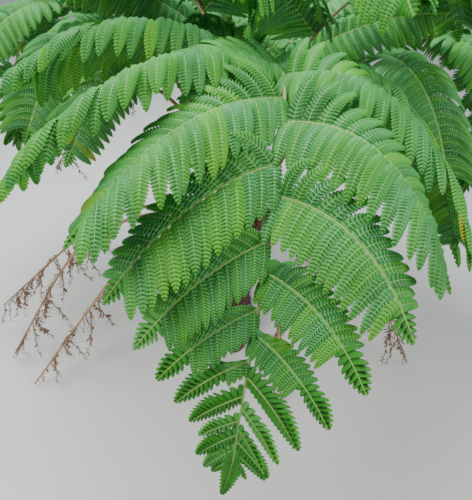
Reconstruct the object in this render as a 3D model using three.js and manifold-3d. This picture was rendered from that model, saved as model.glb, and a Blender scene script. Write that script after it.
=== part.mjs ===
// A tree fern with a short trunk. Green fronds arch out of one crown, each twice divided into pinnae
// that droop to both sides of its rachis, and the bare stalks of dead fronds hang round the trunk.
// Millimetres, +Z up. The origin is the middle of the flat cut under the trunk, at ground level.
// An azimuth is counted from -Y, where the largest frond points, towards +X.

import * as THREE from 'three'
import { mergeVertices } from 'three/addons/utils/BufferGeometryUtils.js'
import Module from 'manifold-3d'

const wasm = await Module()
wasm.setup()

// Driving dimensions

const GAP = 0.45 // clear space between neighbouring solids
const CLEAR = 0.38 // the least that may be left of it
const TRUNK_GAP = 0.585 // from the trunk's axis, so a little less square to its slopes
const CROWN_HEIGHT = 602 // where the stalks of the older fronds leave the crown

const TRUNK = {
  // height above the ground and radius there, from the flat cut to the top of the crown's dome
  profile: [[0, 118], [22, 101], [62, 88], [130, 77], [240, 69], [370, 66], [470, 70], [540, 78],
    [582, 76], [608, 58], [622, 30]],
  sides: 16,
  flareRibs: 5, // buttress-like ribs in the root flare
  flareDepth: 0.09, // their depth as a share of the radius at the ground
  flareFade: 8, // the power by which they fade out upwards
  lean: 2.2, // degrees
  leanAzimuth: -118,
  crown: 604, // the height at which the leaning trunk passes over the origin
}

const FROND = {
  length: 1668,
  arch: 1.155, // over 1 holds the arch back towards the tip
  places: 15.94, // pinna places on a side, as the rule below counts them
  firstPlace: 0.76, // the lowest pinna's place on the left
  pairs: 10, // the pinnae beyond these are joined in one lobed blade
  tipBlade: 0.05, // how far that blade runs on past the frond's length
  tipBladeHalf: 62, // half its width where it starts
  tipBladeTaper: 0.8,
  tipLobes: 6,
  tipNotch: 0.5, // its width between two lobes, as a share of the width at a lobe
  tipLobeLean: 0.6, // how far a lobe points on towards the tip, as a share of its width
  tipBladeThin: 0.8, // half the blade's thickness at its tip
  rightOffset: 0.42, // the right hand pinnae stand this much further out
  placeStart: 352, // where place 0 would lie along a frond of full length
  crowding: 2.73, // how the places close up towards the tip
  crowdingShape: 1.099,
  pinna: 605, // the longest pinna
  longestAt: 0.321,
  baseLoss: 0.258, // how much shorter the lowest pinnae are
  taper: [0.771, 1.189], // powers of the taper to the tip
  tipPinna: 48,
  pinnaAngle: [78.6, -10.3, -6.9], // from the rachis, in powers of the place
  sideSkew: 9.7, // right hand pinnae point out more, left hand ones forwards more
  tilt: [21.2, -15.6, 17.0], // how far the pinnae are raised above the frond's own plane
  turn: [7.9, -11.4, -12.0], // roll of the frond about its rachis
  sweep: [-1.6, -24.4], // how its azimuth drifts
  droop: 3.1, // pull of the weight on the longest pinna
  droopLength: 1.675, // shorter pinnae droop less, by this power
  droopAlong: 1.43, // the droop sets in along the pinna by this power
  droopSkew: 0.38,
  forward: 1.19, // how far the pinna tips bend towards the frond's tip
  forwardLength: 0.87,
  // small variations between pinnae: of the length and of the droop as shares, of the angle in degrees
  lengthVaries: 0.07,
  angleVaries: 8,
  droopVaries: 0.3,
}

const PINNULE = {
  share: 0.225, // longest pinnule over the pinna's length
  least: 10,
  lean: 76, // degrees from the pinna's own axis
  basalShare: 0.62, // the pinnules on the side of the crown curl up, so they reach less far
  fold: [10, 8], // degrees below the pinna's plane, on the tip side and on the crown side
  droop: 0.9, // pull of the weight on the longest pinnule
  // their length along a pinna: this share at its foot, growing at this rate, then a rounded taper
  footShare: 0.55,
  growth: 2.2,
  taper: [1.7, 0.85],
}

const STIPE_RADIUS = 10.5 // at the crown
const STIPE_TAPER = 0.6 // under 1, so it thins most near the crown
const STIPE_SPANS = 5
const STIPE_SIDES = 6
const RACHIS_RADIUS = 5 // at the lowest pinna
const RACHIS_TIP_RADIUS = 1.5
const RACHIS_SIDES = 4
const RIB_SHARE = 1 / 155 // half the thickness of a pinna along its rib, over its length
const RIB_LEAST = 1.2
const RIB_TAPER = 0.55 // what the rib loses towards the tip
const BARE = 0.02 // how far below the lowest pinna the blade starts, as a share of the frond's length

// Every green frond: the azimuth and the radius where its stalk leaves the crown, how far that is
// above CROWN_HEIGHT, the way it heads, its size against the largest one, its elevation at the crown
// and at the tip, the side it sweeps to, how much its pinnae vary, and the seed of their variations.
// Long ones reach out low, and the younger ones between them stand higher.
const FRONDS = [
  [-6, 55, 0, 9.5, 1.0, 71.8, -90, 1, 0.2, 1201],
  [100, 54, -4, 106, 0.98, 70, -84, -1, 1, 1280],
  [-166, 55, -2, -164, 0.97, 71, -86, 1, 1, 1357],
  [-98, 54, 2, -103, 0.95, 69, -82, 1, 1, 1436],
  [146, 31, 12, 150, 1.0, 79, -62, 1, 1, 1509],
  [-132, 31, 12, -134, 0.97, 80, -60, -1, 1, 1586],
  [50, 30, 14, 60, 0.94, 85, -34, 1, 1, 1663],
  [-52, 30, 14, -56, 0.9, 87, -28, -1, 1, 1740],
].map(([azimuth, out, up, heading, size, rise, fall, hand, vary, seed]) =>
  ({ azimuth, out, up, heading, size, rise, fall, hand, vary, seed }))

// Every dead stalk: its azimuth, its length, how far it leaves the trunk below CROWN_HEIGHT, its
// elevation there and past its bend, and the share of its length that the bend takes.
const DEAD = [
  { azimuth: -122, length: 1380, down: 24, rise: 62, fall: -58, bend: 0.84 },
  { azimuth: -80, length: 1000, down: 34, rise: 15, fall: -46, bend: 0.66 },
  { azimuth: -71, length: 1080, down: 54, rise: 18, fall: -61, bend: 0.72 },
  { azimuth: -60, length: 960, down: 76, rise: 8, fall: -53, bend: 0.6 },
  { azimuth: 32, length: 700, down: 70, rise: 6, fall: -72, bend: 0.5 },
  { azimuth: 82, length: 940, down: 40, rise: 16, fall: -58, bend: 0.62 },
  { azimuth: 128, length: 820, down: 62, rise: 10, fall: -64, bend: 0.56 },
  { azimuth: 172, length: 980, down: 46, rise: 20, fall: -60, bend: 0.64 },
  { azimuth: -146, length: 860, down: 66, rise: 8, fall: -60, bend: 0.6 },
]
const DEAD_RADIUS = 9.5
const DEAD_TIP_RADIUS = 3
const DEAD_TAPER = 0.7
const DEAD_STEPS = 40
const DEAD_SPANS = 11
const DEAD_SIDES = 5
const DEAD_ROOT = 40 // how far inside the trunk a dead stalk's middle line starts

const SMOOTHING = 0.1 // how far a face may move when slivers are cleared away

const LEAF = new THREE.Color(0.16, 0.36, 0.11)
const GREEN_STALK = new THREE.Color(0.38, 0.42, 0.16)
const BARK = new THREE.Color(0.13, 0.085, 0.06)
const DEAD_STALK = new THREE.Color(0.34, 0.22, 0.13)

// Small helpers

const rad = THREE.MathUtils.degToRad
const vec = (x, y, z) => new THREE.Vector3(x, y, z)
const DOWN = vec(0, 0, -1)
const series = (coefficients, u) => coefficients.reduce((sum, c, i) => sum + c * u ** i, 0)
const compass = (elevation, azimuth) => vec(
  Math.sin(rad(azimuth)) * Math.cos(rad(elevation)),
  -Math.cos(rad(azimuth)) * Math.cos(rad(elevation)),
  Math.sin(rad(elevation)))

// A generator of even numbers from 0 to 1 that gives the same ones each time.
const randomFrom = seed => {
  let state = seed
  return () => (state = (16807 * state) % 2147483647) / 2147483647
}

// The sum of short steps along changing directions, as a list of points.
function walk(start, length, directions) {
  const step = length / (directions.length - 1)
  const points = [start.clone()]
  for (let i = 1; i < directions.length; i++) {
    const way = directions[i - 1].clone().add(directions[i]).multiplyScalar(step / 2)
    points.push(points[i - 1].clone().add(way))
  }
  return points
}

function between(list, t) {
  const place = THREE.MathUtils.clamp(t, 0, 1) * (list.length - 1)
  const i = Math.min(Math.floor(place), list.length - 2)
  return list[i].clone().lerp(list[i + 1], place - i)
}

// A closed solid through rings with the same number of points, or one point for a sharp end. Each
// ring runs counter-clockwise about the way the rings go. The diagonals lean to both sides in turn,
// so the upper and the lower face of a thin wing have theirs in the same place and never cross.
function loft(rings) {
  const points = []
  const faces = []
  const starts = rings.map(ring => points.push(...ring) - ring.length)
  for (let j = 0; j + 1 < rings.length; j++) {
    const n = rings[j].length
    const [a, b] = [starts[j], starts[j + 1]]
    for (let i = 0; i < n; i++) {
      const k = (i + 1) % n
      if (rings[j + 1].length === 1) faces.push(a + i, a + k, b)
      else if (i % 2) faces.push(a + i, a + k, b + i, a + k, b + k, b + i)
      else faces.push(a + i, a + k, b + k, a + i, b + k, b + i)
    }
  }
  const last = rings.length - 1
  for (let i = 1; i + 1 < rings[0].length; i++) {
    faces.push(starts[0], starts[0] + i + 1, starts[0] + i)
  }
  for (let i = 1; i + 1 < rings[last].length; i++) {
    faces.push(starts[last], starts[last] + i, starts[last] + i + 1)
  }
  const geometry = new THREE.BufferGeometry()
  const positions = points.flatMap(p => [p.x, p.y, p.z])
  geometry.setAttribute('position', new THREE.Float32BufferAttribute(positions, 3))
  geometry.setIndex(faces)
  return geometry
}

function solid(geometry) {
  const merged = mergeVertices(geometry)
  const solidMesh = new wasm.Mesh({
    numProp: 3,
    vertProperties: new Float32Array(merged.attributes.position.array),
    triVerts: new Uint32Array(merged.index.array),
  })
  return new wasm.Manifold(solidMesh)
}

function geometryOf(manifold) {
  const mesh = manifold.getMesh()
  const geometry = new THREE.BufferGeometry()
  geometry.setAttribute('position', new THREE.BufferAttribute(mesh.vertProperties, 3))
  geometry.setIndex(new THREE.BufferAttribute(mesh.triVerts, 1))
  const flat = geometry.toNonIndexed()
  flat.computeVertexNormals()
  return flat
}

function circle(centre, across, up, radius, sides) {
  return Array.from({ length: sides }, (_, i) => {
    const angle = (2 * Math.PI * i) / sides
    return centre.clone()
      .addScaledVector(across, radius * Math.cos(angle))
      .addScaledVector(up, radius * Math.sin(angle))
  })
}

// The trunk, with its flare, its lean and the dome of the crown

function trunkSolid(extra) {
  const run = Math.tan(rad(TRUNK.lean))
  const towards = compass(0, TRUNK.leanAzimuth)
  const rings = TRUNK.profile.map(([height, radius], j) => {
    const share = height / TRUNK.crown
    const centre = towards.clone().multiplyScalar(run * height * (1 - share))
    centre.z = height + (j > 0 ? extra : 0)
    return Array.from({ length: TRUNK.sides }, (_, i) => {
      const angle = (2 * Math.PI * i) / TRUNK.sides
      const flare = TRUNK.flareDepth * Math.cos(TRUNK.flareRibs * angle) * (1 - share) ** TRUNK.flareFade
      const reach = radius * (1 + flare) + extra
      return centre.clone().add(vec(Math.cos(angle) * reach, Math.sin(angle) * reach, 0))
    })
  })
  return solid(loft(rings))
}

// A frond: its rachis, and its pinnae in pairs

const STEPS = 120
const LAST = Math.ceil(STEPS * (1 + FROND.tipBlade))
const PINNA_STEPS = 24
const PINNULE_STEPS = 6

function frondLine(frond) {
  const length = FROND.length * frond.size
  const ways = []
  const azimuths = []
  for (let i = 0; i <= LAST; i++) {
    const m = i / STEPS
    const bend = (1 - Math.cos(Math.PI * m ** FROND.arch)) / 2
    const elevation = THREE.MathUtils.lerp(frond.rise, frond.fall, bend)
    const azimuth = frond.heading + frond.hand * m * series(FROND.sweep, m)
    ways.push(compass(elevation, azimuth))
    azimuths.push(azimuth)
  }
  const start = compass(0, frond.azimuth).multiplyScalar(frond.out)
  start.z = CROWN_HEIGHT + frond.up
  const points = walk(start, length * LAST / STEPS, ways)
  const level = ways.findIndex(way => way.z < 0) / STEPS
  return { frond, length, ways, points, azimuths, level }
}

// Where a frond is at m of its length, the way it runs there, and its plane: across points to the
// left hand of someone who faces the crown, and above is the side of the sky.
function frameAt(line, m) {
  const share = m * STEPS / LAST
  const way = between(line.ways, share).normalize()
  const before = Math.min(Math.floor(m * STEPS), LAST - 1)
  const [from, to] = [line.azimuths[before], line.azimuths[before + 1]]
  const azimuth = rad(THREE.MathUtils.lerp(from, to, m * STEPS - before))
  const level = vec(-Math.cos(azimuth), -Math.sin(azimuth), 0)
  const normal = level.clone().cross(way)
  const roll = rad(series(FROND.turn, m)) * line.frond.hand
  const across = level.clone().multiplyScalar(Math.cos(roll)).addScaledVector(normal, Math.sin(roll))
  const above = normal.clone().multiplyScalar(Math.cos(roll)).addScaledVector(level, -Math.sin(roll))
  return { point: between(line.points, share), way, across, above }
}

// The place of pinna k as a share of the frond's length.
function placeAlong(k) {
  const start = FROND.placeStart / FROND.length
  const share = THREE.MathUtils.clamp(k / FROND.places, 0, 1) ** FROND.crowdingShape
  return start + (1 - start) * (1 - (1 - share) ** FROND.crowding)
}

function pinnaLength(u) {
  const { longestAt, baseLoss, taper, tipPinna, pinna } = FROND
  if (u < longestAt) return pinna * (1 - baseLoss * ((longestAt - u) / longestAt) ** 2)
  const w = (u - longestAt) / (1 - longestAt)
  return pinna * (1 - w ** taper[0]) ** taper[1] + tipPinna
}

// Side 1 is the right hand of someone who faces the crown, -1 the left hand.
function pinnaLine(line, k, side, luck) {
  const { frond } = line
  const place = k + (side > 0 ? FROND.rightOffset : 0)
  const m = placeAlong(place)
  const start = FROND.placeStart / FROND.length
  const u = (m - start) / (1 - start)
  const hand = side * frond.hand
  const { point, way, across, above } = frameAt(line, m)
  const natural = pinnaLength(u)
  const length = natural * frond.size * (1 + FROND.lengthVaries * frond.vary * (luck[0] - 0.5))
  const angle = rad(series(FROND.pinnaAngle, u) + hand * FROND.sideSkew +
    FROND.angleVaries * frond.vary * (luck[1] - 0.5))
  const tilt = rad(series(FROND.tilt, u))
  const out = across.clone().multiplyScalar(-side * Math.cos(tilt)).addScaledVector(above, Math.sin(tilt))
  const first = way.clone().multiplyScalar(Math.cos(angle)).addScaledVector(out, Math.sin(angle))
  const share = natural / FROND.pinna
  const droop = FROND.droop * share ** FROND.droopLength * (1 + hand * FROND.droopSkew) *
    (1 + FROND.droopVaries * frond.vary * (luck[2] - 0.5))
  const forward = FROND.forward * share ** FROND.forwardLength
  const ways = []
  for (let i = 0; i <= PINNA_STEPS; i++) {
    const v = i / PINNA_STEPS
    ways.push(first.clone().addScaledVector(DOWN, droop * v ** FROND.droopAlong)
      .addScaledVector(way, forward * v).normalize())
  }
  const turn = Math.sign(first.clone().cross(way).dot(above))
  return { ways, points: walk(point, length, ways), length, along: way, turn, place: m }
}

// How long the pinnules are at v along a pinna, as a share of the longest.
const pinnuleShape = v =>
  Math.min(1, PINNULE.footShare + PINNULE.growth * v) * (1 - v ** PINNULE.taper[0]) ** PINNULE.taper[1]

// Where the tip of a pinnule lies, seen from its root on the pinna's rib. Edge 1 is the side of the
// frond's tip, -1 the side of the crown.
function pinnuleReach(pinna, v, edge, length) {
  const way = between(pinna.ways, v).normalize()
  const w = pinna.along.clone().addScaledVector(way, -pinna.along.dot(way)).normalize()
  const normal = way.clone().cross(w).multiplyScalar(pinna.turn).normalize()
  const fold = rad(PINNULE.fold[edge > 0 ? 0 : 1])
  const lean = rad(PINNULE.lean)
  const first = way.clone().multiplyScalar(Math.cos(lean))
    .addScaledVector(w, edge * Math.sin(lean) * Math.cos(fold)).addScaledVector(normal, -Math.sin(fold))
  const ways = []
  for (let i = 0; i <= PINNULE_STEPS; i++) {
    ways.push(first.clone().addScaledVector(DOWN, PINNULE.droop * i / PINNULE_STEPS).normalize())
  }
  return { tip: walk(vec(0, 0, 0), length, ways).pop(), normal }
}

// The cross-sections of a pinna's blade, as shares of its length: more on the longer ones.
const STATIONS = [
  [290, [0, 0.035, 0.27, 0.52, 0.78, 1]],
  [150, [0, 0.05, 0.38, 0.72, 1]],
  [0, [0, 0.12, 0.6, 1]],
]

// A pinna's blade: a roof of two wings that hang from the rib, cut short at a share of its length.
function pinnaSolid(pinna, reach, width) {
  const stations = STATIONS.find(([least]) => pinna.length * reach > least)[1]
  const rib = Math.max(pinna.length * RIB_SHARE, RIB_LEAST)
  const longest = Math.max(pinna.length * reach * PINNULE.share, PINNULE.least) * width
  const rings = stations.map((s, j) => {
    const v = s * reach
    const centre = between(pinna.points, v)
    if (j === stations.length - 1) return [centre]
    const length = j === 0 ? rib : longest * pinnuleShape(s)
    const tip = pinnuleReach(pinna, v, 1, length)
    const crown = pinnuleReach(pinna, v, -1, length * PINNULE.basalShare)
    const half = rib * (1 - RIB_TAPER * s)
    const top = centre.clone().addScaledVector(tip.normal, half)
    const bottom = centre.clone().addScaledVector(tip.normal, -half)
    const [a, b] = [centre.clone().add(tip.tip), centre.clone().add(crown.tip)]
    return pinna.turn > 0 ? [bottom, a, top, b] : [bottom, b, top, a]
  })
  return solid(loft(rings))
}

const STIPE_END = placeAlong(FROND.firstPlace) - BARE
const stipeRadius = m =>
  THREE.MathUtils.lerp(STIPE_RADIUS, RACHIS_RADIUS, Math.min(1, (m / STIPE_END) ** STIPE_TAPER))
const bladeRadius = m =>
  THREE.MathUtils.lerp(RACHIS_RADIUS, RACHIS_TIP_RADIUS, (m - STIPE_END) / (1 - STIPE_END))

// The stalk or rachis between its first and last station, each a share of the frond's length.
function rachisSolid(line, stations, radiusAt, sides) {
  return solid(loft(stations.map(m => {
    const { point, across, above } = frameAt(line, m)
    return circle(point, above, across, radiusAt(m), sides)
  })))
}

// The lobed blade at a frond's tip, where its last pinnae are joined.
function tipSolid(line) {
  const from = placeAlong(FROND.firstPlace + FROND.pairs)
  const to = (LAST - 0.1) / STEPS
  const count = 2 * FROND.tipLobes
  const rings = []
  for (let j = 0; j <= count; j++) {
    const share = j / count
    const { point, way, across, above } = frameAt(line, THREE.MathUtils.lerp(from, to, share))
    const half = FROND.tipBladeHalf * line.frond.size * (1 - share) ** FROND.tipBladeTaper *
      (j % 2 ? 1 : FROND.tipNotch)
    const thick = THREE.MathUtils.lerp(RACHIS_TIP_RADIUS, FROND.tipBladeThin, share)
    const top = point.clone().addScaledVector(above, thick)
    const bottom = point.clone().addScaledVector(above, -thick)
    const forward = way.clone().multiplyScalar(half * FROND.tipLobeLean)
    const left = point.clone().addScaledVector(across, half).add(forward)
    const right = point.clone().addScaledVector(across, -half).add(forward)
    rings.push(j === count ? [point] : [bottom, right, top, left])
  }
  return solid(loft(rings))
}

// A dead frond's bare stalk, bent down and then straight.
function deadSolid({ azimuth, length, down, rise, fall, bend }) {
  const ways = Array.from({ length: DEAD_STEPS + 1 }, (_, j) => {
    const bent = THREE.MathUtils.smoothstep(j / DEAD_STEPS / bend, 0, 1)
    return compass(THREE.MathUtils.lerp(rise, fall, bent), azimuth)
  })
  const start = compass(0, azimuth).multiplyScalar(DEAD_ROOT)
  start.z = CROWN_HEIGHT - down
  const points = walk(start, length, ways)
  const across = vec(Math.cos(rad(azimuth)), Math.sin(rad(azimuth)), 0)
  return solid(loft(Array.from({ length: DEAD_SPANS + 1 }, (_, j) => {
    const m = j / DEAD_SPANS
    const way = between(ways, m).normalize()
    const radius = THREE.MathUtils.lerp(DEAD_RADIUS, DEAD_TIP_RADIUS, m ** DEAD_TAPER)
    return circle(between(points, m), across, way.clone().cross(across), radius, DEAD_SIDES)
  })))
}

// Assembly: every solid keeps clear of those that were made before it

const parts = []

function isClear(candidate, owner) {
  const box = candidate.boundingBox()
  return parts.every(part => {
    if (part.owner === owner && part.carrier) return true
    const apart = [0, 1, 2].some(i =>
      box.min[i] > part.box.max[i] + GAP || part.box.min[i] > box.max[i] + GAP)
    return apart || candidate.minGap(part.solid, 2 * GAP) > CLEAR
  })
}

// A carrier is the rachis that the pinnae of its own node grow into.
function keep(owner, piece, carrier = false) {
  parts.push({ owner, solid: piece, box: piece.boundingBox(), carrier })
}

function keepClear(owner, piece, carrier = false) {
  if (!isClear(piece, owner)) throw new Error(`${owner} touches its neighbour`)
  keep(owner, piece, carrier)
}

const trunkClear = trunkSolid(TRUNK_GAP)
keep('trunk', trunkSolid(0))

// The stalks and rachises. A frond is split past the last pinna that its rising half carries.
const names = FRONDS.map((_, i) => `frond_${i + 1}`)
const lines = FRONDS.map(frondLine)

lines.forEach((line, i) => {
  const places = Array.from({ length: FROND.pairs }, (_, k) => k + FROND.firstPlace)
    .flatMap(k => [placeAlong(k), placeAlong(k + FROND.rightOffset)])
  const next = places.findIndex(m => m > line.level)
  line.split = (places[next - 1] + places[next]) / 2
  const half = GAP / 2 / line.length
  const stalk = Array.from({ length: STIPE_SPANS }, (_, j) => STIPE_END * j / STIPE_SPANS)
  const rising = places.filter(m => m < line.split)
  const falling = places.filter(m => m > line.split)
  const stipe = rachisSolid(line, [...stalk, STIPE_END - half], stipeRadius, STIPE_SIDES).subtract(trunkClear)
  keepClear(`${names[i]}_stipe`, stipe, true)
  const innerStations = [STIPE_END + half, ...rising, line.split - half]
  const inner = rachisSolid(line, innerStations, bladeRadius, RACHIS_SIDES)
  keepClear(`${names[i]}_inner_blade`, inner, true)
  const outer = rachisSolid(line, [line.split + half, ...falling, 1], bladeRadius, RACHIS_SIDES)
  keepClear(`${names[i]}_outer_blade`, outer, true)
  keep(`${names[i]}_outer_blade`, tipSolid(line))
})

const deadNames = DEAD.map((_, i) => `dead_frond_${i + 1}`)
DEAD.forEach((dead, i) => keepClear(deadNames[i], deadSolid(dead).subtract(trunkClear)))

// The pinnae. One that would touch another is made narrower, then shorter, and at last left out.
const REACHES = [1, 0.85, 0.7, 0.55, 0.4]
const WIDTHS = [1, 0.8, 0.6, 0.45]

function fittedPinna(pinna, owner) {
  for (const reach of REACHES) {
    for (const width of WIDTHS) {
      const piece = pinnaSolid(pinna, reach, width)
      if (isClear(piece, owner)) return piece
    }
  }
  return null
}

lines.forEach((line, i) => {
  const random = randomFrom(line.frond.seed)
  for (let k = 0; k < FROND.pairs; k++) {
    for (const side of [-1, 1]) {
      const luck = [random(), random(), random()]
      const pinna = pinnaLine(line, k + FROND.firstPlace, side, luck)
      const owner = `${names[i]}_${pinna.place < line.split ? 'inner' : 'outer'}_blade`
      const piece = fittedPinna(pinna, owner)
      if (piece) keep(owner, piece)
    }
  }
})

// The scene

const fern = new THREE.Group()

// Only the largest body stays: a hollow that the joining seals is filled, a loose scrap is dropped.
function show(name, colour, roughness) {
  const joined = wasm.Manifold.union(parts.filter(part => part.owner === name).map(part => part.solid))
  const bodies = joined.simplify(SMOOTHING).decompose().sort((a, b) => b.volume() - a.volume())
  const material = new THREE.MeshStandardMaterial({ color: colour, roughness, metalness: 0 })
  const mesh = new THREE.Mesh(geometryOf(bodies[0]), material)
  mesh.name = name
  fern.add(mesh)
}

show('trunk', BARK, 0.95)
for (const name of names) {
  show(`${name}_stipe`, GREEN_STALK, 0.6)
  show(`${name}_inner_blade`, LEAF, 0.5)
  show(`${name}_outer_blade`, LEAF, 0.5)
}
for (const name of deadNames) show(name, DEAD_STALK, 0.85)

export default fern
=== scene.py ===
# %% [markdown]
# # A tree fern
# A tree fern is one rule used three times. A frond carries pinnae, a pinna carries pinnules and a
# pinnule carries lobes, each shorter towards the tip of what carries it. So this lesson grows the
# plant by a rule instead of modelling leaves one at a time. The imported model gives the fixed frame:
# its solids say where every frond runs, and the finer leaves replace them in the same place.

# %% The frame
import math

import bpy
import numpy as np
from mathutils import Matrix, Vector
from mathutils.bvhtree import BVHTree


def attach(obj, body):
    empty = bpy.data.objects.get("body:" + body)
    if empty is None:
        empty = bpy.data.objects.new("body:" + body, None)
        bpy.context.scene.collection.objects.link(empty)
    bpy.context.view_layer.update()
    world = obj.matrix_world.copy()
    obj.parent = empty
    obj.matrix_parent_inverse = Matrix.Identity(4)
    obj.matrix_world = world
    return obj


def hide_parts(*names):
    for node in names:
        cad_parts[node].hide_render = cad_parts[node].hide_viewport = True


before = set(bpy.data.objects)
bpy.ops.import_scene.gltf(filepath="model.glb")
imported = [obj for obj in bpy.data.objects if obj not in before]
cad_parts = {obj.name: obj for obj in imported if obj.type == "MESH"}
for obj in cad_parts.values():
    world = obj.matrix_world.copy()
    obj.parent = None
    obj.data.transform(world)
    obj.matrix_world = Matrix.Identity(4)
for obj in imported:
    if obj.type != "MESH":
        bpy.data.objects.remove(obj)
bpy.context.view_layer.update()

# %% [markdown]
# ## The camera
# It stands at head height and looks 34 degrees down, a little turned about its own axis, so that
# the largest frond hangs down towards it. A short lens gives the strong perspective of a close look.

# %% Camera
CAMERA_PLACE, CAMERA_LENS = Vector((-0.001, -1.467, 1.406)), 33.84
CAMERA_PITCH, CAMERA_ROLL = math.radians(34.0), math.radians(6.0)


def shown(name, data):
    """A new object of the scene, at the origin and unturned."""
    made = bpy.data.objects.new(name, data)
    bpy.context.scene.collection.objects.link(made)
    return made


camera = shown("camera", bpy.data.cameras.new("camera"))
pitched = Matrix.Rotation(math.pi / 2 - CAMERA_PITCH, 4, "X")
rolled = Matrix.Rotation(CAMERA_ROLL, 4, "Z")
camera.matrix_world = Matrix.Translation(CAMERA_PLACE) @ pitched @ rolled
camera.data.lens, camera.data.clip_start = CAMERA_LENS, 0.02
bpy.context.scene.camera = camera
print("camera at", tuple(camera.location))

# %% [markdown]
# ## The frond's rule
# A frond leaves the crown steeply, arches over and hangs. Its way at every point is an elevation and
# an azimuth, and walking along those ways gives the curve. The numbers are the ones that the solids
# were made from, in metres and degrees, so both follow the same lines.

# %% Directions and walks
DOWN = np.array([0.0, 0.0, -1.0])


def unit(vectors):
    return vectors / np.maximum(np.linalg.norm(vectors, axis=-1, keepdims=True), 1e-12)


def compass(elevation, azimuth):
    """The direction at an elevation and an azimuth in degrees, counted from -Y towards +X."""
    e, a = np.radians(elevation), np.radians(azimuth)
    parts = np.sin(a) * np.cos(e), -np.cos(a) * np.cos(e), np.sin(e)
    return np.stack(np.broadcast_arrays(*parts), axis=-1)


def walk(start, length, ways):
    """The points of a curve that follows the ways in equal steps."""
    steps = (ways[1:] + ways[:-1]) * (length / (len(ways) - 1) / 2)
    return np.vstack([start, start + np.cumsum(steps, axis=0)])


def between(rows, share):
    """The row at a share of the list, or one row for each of several shares."""
    place = np.clip(np.asarray(share, float), 0, 1) * (len(rows) - 1)
    before = np.minimum(place.astype(int), len(rows) - 2)
    rest = (place - before)[..., None]
    return rows[before] * (1 - rest) + rows[before + 1] * rest


def series(coefficients, u):
    return sum(c * u**i for i, c in enumerate(coefficients))


def even_numbers(seed):
    """A generator of numbers from 0 to 1 that gives the same ones each time."""
    state = seed
    while True:
        state = 16807 * state % 2147483647
        yield state / 2147483647


# %% The frond's numbers
CROWN_HEIGHT, FROND_LENGTH, FROND_ARCH = 0.602, 1.668, 1.155
PLACES, FIRST_PLACE, PAIRS, RIGHT_OFFSET = 15.94, 0.76, 10, 0.42
PLACE_START, CROWDING, CROWDING_SHAPE = 0.352 / FROND_LENGTH, 2.73, 1.099
PINNA, TIP_PINNA = 0.605, 0.048
LONGEST_AT, BASE_LOSS, TAPER = 0.321, 0.258, (0.771, 1.189)
PINNA_ANGLE, SIDE_SKEW = (78.6, -10.3, -6.9), 9.7
TILT, TURN, SWEEP = (21.2, -15.6, 17.0), (7.9, -11.4, -12.0), (-1.6, -24.4)
DROOP, DROOP_LENGTH, DROOP_ALONG, DROOP_SKEW = 3.1, 1.675, 1.43, 0.38
FORWARD, FORWARD_LENGTH = 1.19, 0.87
LENGTH_VARIES, ANGLE_VARIES, DROOP_VARIES = 0.07, 8, 0.3
STEPS, LAST, PINNA_STEPS = 120, 126, 24

# azimuth, out, up, heading, size, rise, fall, hand, vary, seed
FRONDS = [
    (-6, 55, 0, 9.5, 1.0, 71.8, -90, 1, 0.2, 1201),
    (100, 54, -4, 106, 0.98, 70, -84, -1, 1, 1280),
    (-166, 55, -2, -164, 0.97, 71, -86, 1, 1, 1357),
    (-98, 54, 2, -103, 0.95, 69, -82, 1, 1, 1436),
    (146, 31, 12, 150, 1.0, 79, -62, 1, 1, 1509),
    (-132, 31, 12, -134, 0.97, 80, -60, -1, 1, 1586),
    (50, 30, 14, 60, 0.94, 85, -34, 1, 1, 1663),
    (-52, 30, 14, -56, 0.9, 87, -28, -1, 1, 1740),
]


def place_along(k):
    """Where pinna k stands, as a share of the frond's length."""
    share = np.clip(k / PLACES, 0, 1) ** CROWDING_SHAPE
    return PLACE_START + (1 - PLACE_START) * (1 - (1 - share) ** CROWDING)


def pinna_length(u):
    """How long a pinna is at u of the blade, before chance changes it."""
    if u < LONGEST_AT:
        return PINNA * (1 - BASE_LOSS * ((LONGEST_AT - u) / LONGEST_AT) ** 2)
    w = (u - LONGEST_AT) / (1 - LONGEST_AT)
    return PINNA * (1 - w ** TAPER[0]) ** TAPER[1] + TIP_PINNA


# %% Frond and pinna lines
class FrondLine:
    def __init__(self, row):
        azimuth, out, up, heading, size, rise, fall, self.hand, self.vary, self.seed = row
        m = np.arange(LAST + 1) / STEPS
        bend = (1 - np.cos(np.pi * m**FROND_ARCH)) / 2
        self.size, self.length = size, FROND_LENGTH * size
        self.azimuths = heading + self.hand * m * series(SWEEP, m)
        self.ways = compass(rise + (fall - rise) * bend, self.azimuths)
        start = compass(0, azimuth) * out / 1000
        start[2] = CROWN_HEIGHT + up / 1000
        self.points = walk(start, self.length * LAST / STEPS, self.ways)
        level = np.argmax(self.ways[:, 2] < 0) / STEPS
        places = [place_along(k + FIRST_PLACE + o) for k in range(PAIRS) for o in (0, RIGHT_OFFSET)]
        following = next(i for i, place in enumerate(places) if place > level)
        self.split = (places[following - 1] + places[following]) / 2

    def frame_at(self, m):
        """The point, the way, the left hand of someone facing the crown, and the sky's side."""
        m = np.asarray(m, float)
        share = m * STEPS / LAST
        way = unit(between(self.ways, share))
        azimuth = np.radians(between(self.azimuths[:, None], share)[..., 0])
        level = np.stack([-np.cos(azimuth), -np.sin(azimuth), 0 * azimuth], axis=-1)
        normal = np.cross(level, way)
        roll = (np.radians(series(TURN, m)) * self.hand)[..., None]
        across = level * np.cos(roll) + normal * np.sin(roll)
        above = normal * np.cos(roll) - level * np.sin(roll)
        return between(self.points, share), way, across, above


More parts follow.
